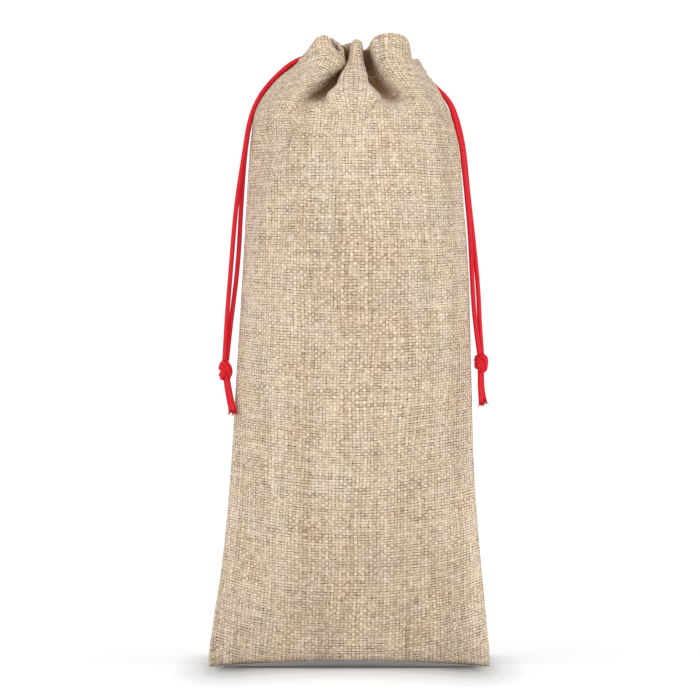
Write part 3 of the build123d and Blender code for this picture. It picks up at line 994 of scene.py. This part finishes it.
def frayed_end(line, radius):
    """Loose fibres where a tail was cut: they spread a little from the cord's end."""
    tip = line[-1]
    out = line[-1] - line[-4]
    out = out / np.linalg.norm(out)
    side = np.cross(out, [0.0, 1.0, 0.0])
    side = side / np.linalg.norm(side)
    over = np.cross(out, side)
    parts = []
    for _ in range(FIBRES):
        angle = random.uniform(0, 2 * math.pi)
        off = radius * math.sqrt(random.uniform(0.02, 0.85))
        reach = random.uniform(0.9, 2.6) * MM
        spread = random.uniform(0.1, 0.75)
        lean = math.cos(angle) * side + math.sin(angle) * over
        start = tip + lean * off - out * 1.2 * MM
        middle = tip + lean * (off * 1.1) + out * reach * 0.4
        end = tip + lean * (off + spread * reach * 0.7) + out * reach
        where = np.linspace(0, 2, FIBRE_POINTS)
        fibre = through(np.array([start, middle, end]), [0, 1, 2], where)
        thin = random.uniform(0.09, 0.17) * MM
        turn = np.linspace(0, 2 * math.pi, FIBRE_SIDES, endpoint=False)
        ring = ring_round(*carried_frames(fibre), turn)
        points = (fibre[:, None] + ring * thin).reshape(-1, 3)
        faces = grid_faces(FIBRE_POINTS, FIBRE_SIDES, closed=True)
        faces.append(tuple(range(FIBRE_SIDES - 1, -1, -1)))
        faces.append(tuple(range(len(points) - FIBRE_SIDES, len(points))))
        along = np.repeat(np.arange(FIBRE_POINTS) * 0.4, FIBRE_SIDES)
        uvs = np.stack([np.tile(turn / 6.3, FIBRE_POINTS), along], axis=1)
        parts.append((points, faces, uvs))
    return parts


def make_tail(name, route, body, material):
    line = spline_line(route)
    radius = CORD_LOOK / 2 * MM
    *shape, path = braided_tube(line, radius, step=0.3 * MM, round_ends=False)
    shape = joined([shape] + frayed_end(path, radius))
    return add_piece(name + "_cord", shape, material, body, name)


LEFT_KNOT = (-66.2, 0.0, 158.4)  # the knots' centres
RIGHT_KNOT = (70.6, 0.0, 162.1)
# The doubled cord's way through each overhand knot, from the knot's centre
LEFT_WAY = [
    (-0.2, -0.1, 5.4), (0.4, -1.7, 4.0), (2.0, -2.1, 1.6), (2.5, -1.5, -1.2), (1.9, 0.4, -3.3),
    (-0.2, 1.9, -3.6), (-2.1, 1.0, -3.2), (-2.0, -1.1, -2.6), (-0.6, -1.4, -0.6), (1.4, 0.6, 0.6),
    (1.0, 2.1, 1.9), (-1.2, 1.9, 3.2), (-2.4, 0.4, 2.9), (-2.2, -1.6, 1.9), (-0.6, -1.9, 0.2),
    (0.8, -0.9, -2.0), (1.2, -0.2, -5.4),
]
RIGHT_WAY = [
    (-0.5, 0.0, 5.0), (0.4, -1.6, 4.2), (2.2, -1.7, 2.8), (2.7, -0.5, 0.2), (2.2, 0.6, -2.6),
    (0.8, 1.9, -2.6), (-1.4, 1.6, -1.4), (-2.7, 0.2, -0.7), (-1.6, -1.7, -0.2), (0.6, -1.9, 0.6),
    (1.6, 0.2, 1.2), (0.2, 1.9, 2.0), (-1.9, 1.2, 2.9), (-2.7, -0.3, 2.7), (-1.6, -1.9, 1.8),
    (-0.1, -2.1, -0.6), (-0.1, -0.6, -5.0),
]
BAND_HALF = 0.80  # half of the distance between the two cords side by side
BAND_CORD = 1.08  # their radius, pulled tight
BAND_POINTS = 260
BAND_EASING = 20  # how many times the band's twist is evened out


def make_knot(name, centre, way, body, material):
    """An overhand knot tied in both ends of a cord together."""
    way = np.array(way)
    middle = through(way, np.arange(len(way)), np.linspace(0, len(way) - 1, BAND_POINTS))
    along = np.gradient(middle, axis=0)
    out = middle * [1.0, 1.0, 0.25]
    beside = np.cross(along, out)
    beside /= np.maximum(np.linalg.norm(beside, axis=1), 1e-6)[:, None]
    for i in range(1, len(beside)):
        if beside[i] @ beside[i - 1] < 0:
            beside[i] = -beside[i]
    for _ in range(BAND_EASING):
        beside[1:-1] = (beside[:-2] + 2 * beside[1:-1] + beside[2:]) / 4
    beside /= np.linalg.norm(beside, axis=1)[:, None]
    parts = []
    for share in (-BAND_HALF, BAND_HALF):
        line = (np.array(centre) + middle + beside * share) * MM
        parts.append(braided_tube(line, BAND_CORD * MM, step=0.25 * MM, round_ends=False)[:3])
    return add_piece(name + "_cord", joined(parts), material, body, name)


def make_cords(red):
    knots = {
        "left": make_knot("left_knot", LEFT_KNOT, LEFT_WAY, "left_cord_end", red),
        "right": make_knot("right_knot", RIGHT_KNOT, RIGHT_WAY, "right_cord_end", red),
    }
    tails = {}
    for name, route in TAILS.items():
        side = name.split("_")[0]
        tails.setdefault(side, []).append(make_tail(name, route, side + "_cord_end", red))
    for name, route in STRANDS.items():
        side = name.split("_")[0]
        strand, path = make_strand(name, route, red)


# ---------------------------------------------------------------- camera, floor and light
VIEW_WIDTH = 374.5 * MM  # the width that the view takes in at the bag
CAMERA_AWAY = 2.4
CAMERA_SIDE = 0.5 * MM
CAMERA_HEIGHT = 169.5 * MM
FLOOR_HALF = 4.0
WORLD_LIGHT = 1.08
# Each light: name, place, what it faces, size and power
LIGHTS = (
    ("key", (-0.5, -0.7, 1.0), (0.0, 0.0, 0.28), 0.8, 0.9),
    ("right", (1.6, -0.9, 0.3), (0.0, 0.0, 0.2), 0.9, 7.0),
    ("left", (-1.6, -0.9, 0.25), (0.0, 0.0, 0.2), 0.9, 5.0),
    ("low", (0.1, -1.6, 0.08), (0.0, 0.0, 0.02), 0.5, 6.0),
)


def make_camera():
    data = bpy.data.cameras.new("camera")
    data.sensor_width = 36.0
    data.lens = data.sensor_width * CAMERA_AWAY / VIEW_WIDTH
    camera = bpy.data.objects.new("camera", data)
    camera.location = (CAMERA_SIDE, -CAMERA_AWAY, CAMERA_HEIGHT)
    camera.rotation_euler = (math.pi / 2, 0, 0)
    bpy.context.scene.collection.objects.link(camera)
    bpy.context.scene.camera = camera


def add_light(name, place, aim, size, power):
    data = bpy.data.lights.new(name, "AREA")
    data.size = size
    data.energy = power
    light = bpy.data.objects.new(name, data)
    light.location = place
    light.rotation_euler = (Vector(aim) - Vector(place)).to_track_quat("-Z", "Y").to_euler()
    bpy.context.scene.collection.objects.link(light)


def make_stage():
    scene = bpy.context.scene
    scene.view_settings.view_transform = "Standard"
    half = FLOOR_HALF
    corners = [(-half, -half, 0), (half, -half, 0), (half, half, 0), (-half, half, 0)]
    floor = add_mesh("floor", corners, [(0, 1, 2, 3)], floor_material())
    world = bpy.data.worlds.new("studio")
    world.use_nodes = True
    background = world.node_tree.nodes["Background"]
    background.inputs["Color"].default_value = (1.0, 1.0, 1.0, 1.0)
    background.inputs["Strength"].default_value = WORLD_LIGHT
    scene.world = world
    for light in LIGHTS:
        add_light(*light)


make_camera()
make_stage()
# the second colour is the dark end: painted shade in the braid's grooves and the darker fibres
red_cord = cord_material("red_cord", (0.72, 0.009, 0.024), (0.42, 0.002, 0.008))
seam_look = seam_cloth_material()
make_cords(red_cord)
make_bag(cloth_material(), red_cord, thread_material(), seam_look)
for node in ("left_seam_allowance", "right_seam_allowance"):
    for place in bpy.data.objects[node].material_slots:
        place.material = seam_look
